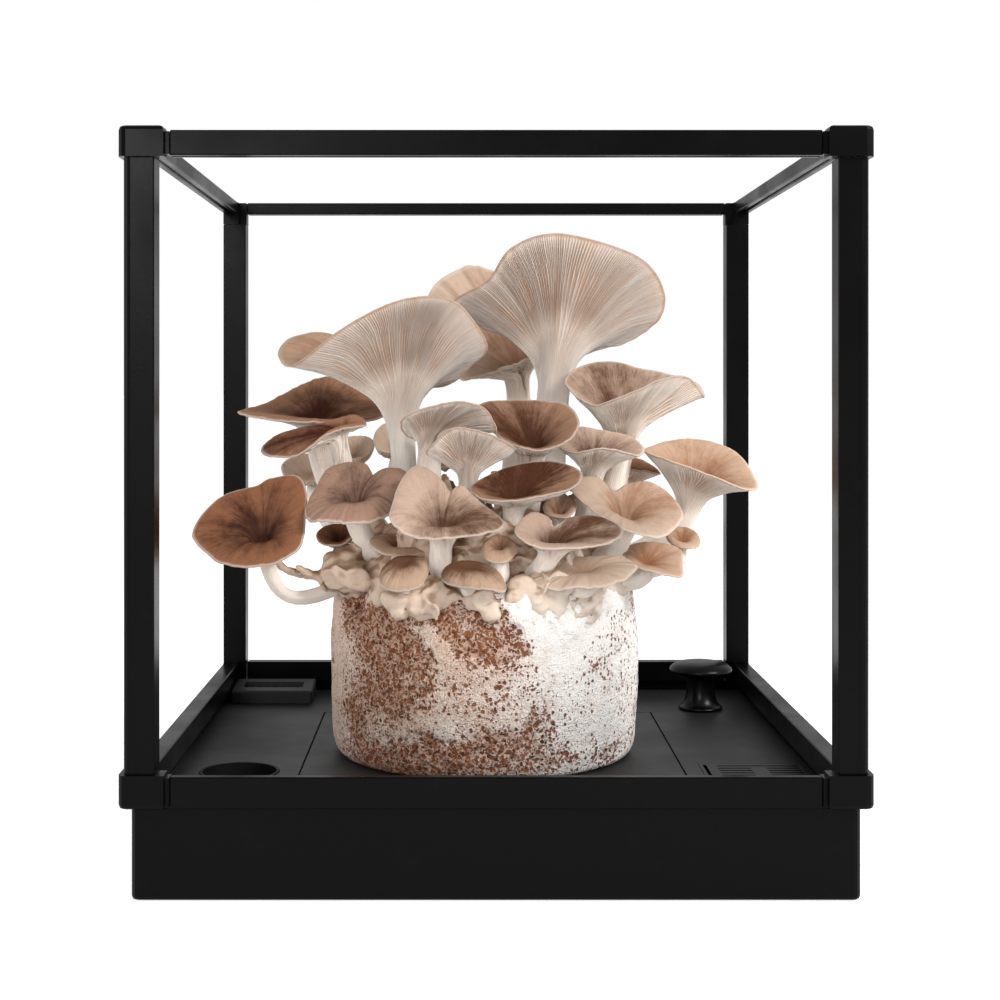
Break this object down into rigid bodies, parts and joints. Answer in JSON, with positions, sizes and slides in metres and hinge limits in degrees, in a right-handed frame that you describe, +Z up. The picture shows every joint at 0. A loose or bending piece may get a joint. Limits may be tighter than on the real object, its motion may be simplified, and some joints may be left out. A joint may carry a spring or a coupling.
{
  "type": "oyster mushroom grow kit",
  "caption": "Open black case frame on a tray base, holding a round mycelium block with a cluster of oyster mushrooms.",
  "frame": {"origin": "middle of the base's underside", "axes": "+Z up, -Y to the front, +X to the right seen from the front"},
  "size_m": [0.3048, 0.303, 0.3132],
  "materials": {
    "case_black": "satin moulded black plastic",
    "deck_black": "fine grained dark plastic",
    "vent_black": "matt black plastic grille",
    "mycelium": "porous off-white mycelium with red-brown grain",
    "mushroom_flesh": "soft fibrous flesh, brown caps over cream gills"
  },
  "bodies": {
    "root": {"base_tub": "case_black", "fan_grille": "vent_black", "grown_base": "mycelium", "lower_corner_back_left": "case_black", "lower_corner_back_right": "case_black", "lower_corner_front_left": "case_black", "lower_corner_front_right": "case_black", "lower_rail_back": "case_black", "lower_rail_front": "case_black", "lower_rail_left": "case_black", "lower_rail_right": "case_black", "middle_panel": "deck_black", "mushroom_big_funnel_right": "mushroom_flesh", "mushroom_broad_low": "mushroom_flesh", "mushroom_brown_centre": "mushroom_flesh", "mushroom_brown_funnel": "mushroom_flesh", "mushroom_button": "mushroom_flesh", "mushroom_dark_funnel": "mushroom_flesh", "mushroom_dark_left": "mushroom_flesh", "mushroom_dark_oval": "mushroom_flesh", "mushroom_dimpled_small": "mushroom_flesh", "mushroom_far_right_small": "mushroom_flesh", "mushroom_flat_low": "mushroom_flesh", "mushroom_folded_left": "mushroom_flesh", "mushroom_folds_right": "mushroom_flesh", "mushroom_gilled_middle": "mushroom_flesh", "mushroom_light_funnel": "mushroom_flesh", "mushroom_low_right": "mushroom_flesh", "mushroom_mid_right": "mushroom_flesh", "mushroom_oval_funnel": "mushroom_flesh", "mushroom_pale_behind_a": "mushroom_flesh", "mushroom_pale_behind_b": "mushroom_flesh", "mushroom_pale_disc": "mushroom_flesh", "mushroom_pointed_dark": "mushroom_flesh", "mushroom_right_gilled": "mushroom_flesh", "mushroom_right_shell": "mushroom_flesh", "mushroom_ruffled_back": "mushroom_flesh", "mushroom_small_gilled": "mushroom_flesh", "mushroom_tall_fan": "mushroom_flesh", "mushroom_tucked_left": "mushroom_flesh", "mushroom_wavy_low": "mushroom_flesh", "mushroom_wide_fan": "mushroom_flesh", "mycelium_block": "mycelium", "plug_knob": "case_black", "post_back_left": "case_black", "post_back_right": "case_black", "post_front_left": "case_black", "post_front_right": "case_black", "top_rail_back": "case_black", "top_rail_front": "case_black", "top_rail_left": "case_black", "top_rail_right": "case_black", "tray_deck": "deck_black", "upper_corner_back_left": "case_black", "upper_corner_back_right": "case_black", "upper_corner_front_left": "case_black", "upper_corner_front_right": "case_black", "vent_box": "deck_black", "vent_box_grille": "vent_black", "water_well": "vent_black"}
  },
  "joints": []
}
